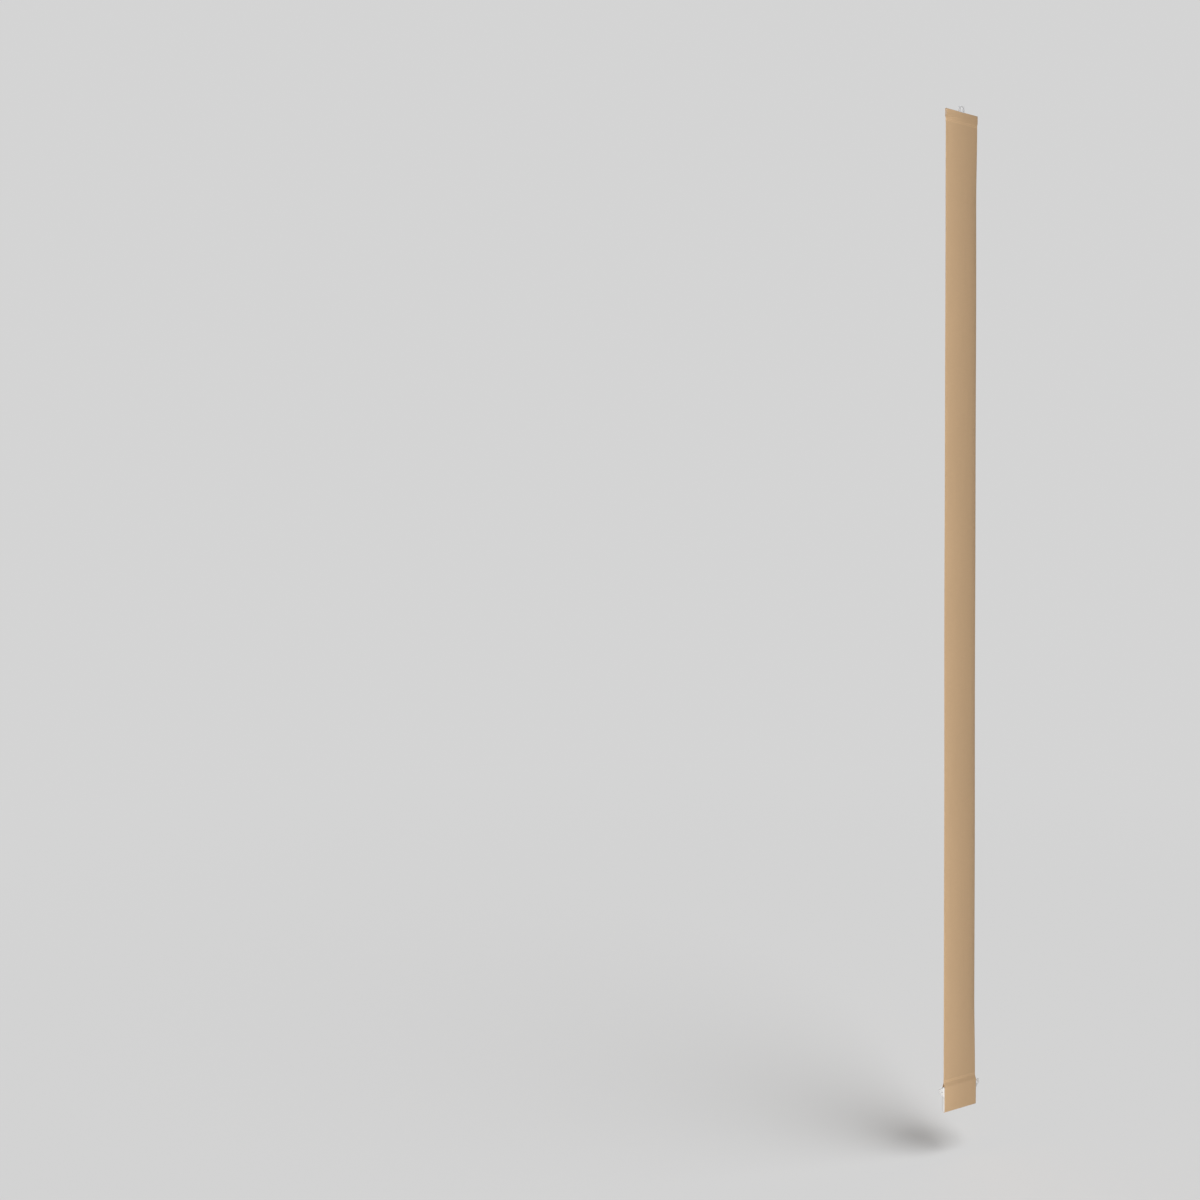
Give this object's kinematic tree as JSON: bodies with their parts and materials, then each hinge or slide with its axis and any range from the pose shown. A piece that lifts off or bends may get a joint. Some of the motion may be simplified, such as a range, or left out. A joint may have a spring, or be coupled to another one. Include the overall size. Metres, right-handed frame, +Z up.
{
  "type": "vertical blind vane",
  "caption": "Tall flat woven-fabric vane of a vertical blind, with a moulded hanger in its top pocket and a lugged chain weight in its bottom pocket.",
  "frame": {"origin": "where the carrier's hook bears: the middle of the underside of the hanger eye's top bar", "axes": "+Z up along the vane, +X across its width, -Y out of its plain face; the hems are turned back to +Y"},
  "size_m": [0.1118, 0.006, 2.0719],
  "materials": {
    "woven_fabric": "matt warm beige plain weave, stiffened",
    "hanger_plastic": "satin pale grey-white moulded plastic",
    "weight_plastic": "satin white moulded plastic"
  },
  "bodies": {
    "root": {"fabric_vane": "woven_fabric", "top_hanger": "hanger_plastic", "bottom_weight": "weight_plastic"}
  },
  "joints": []
}
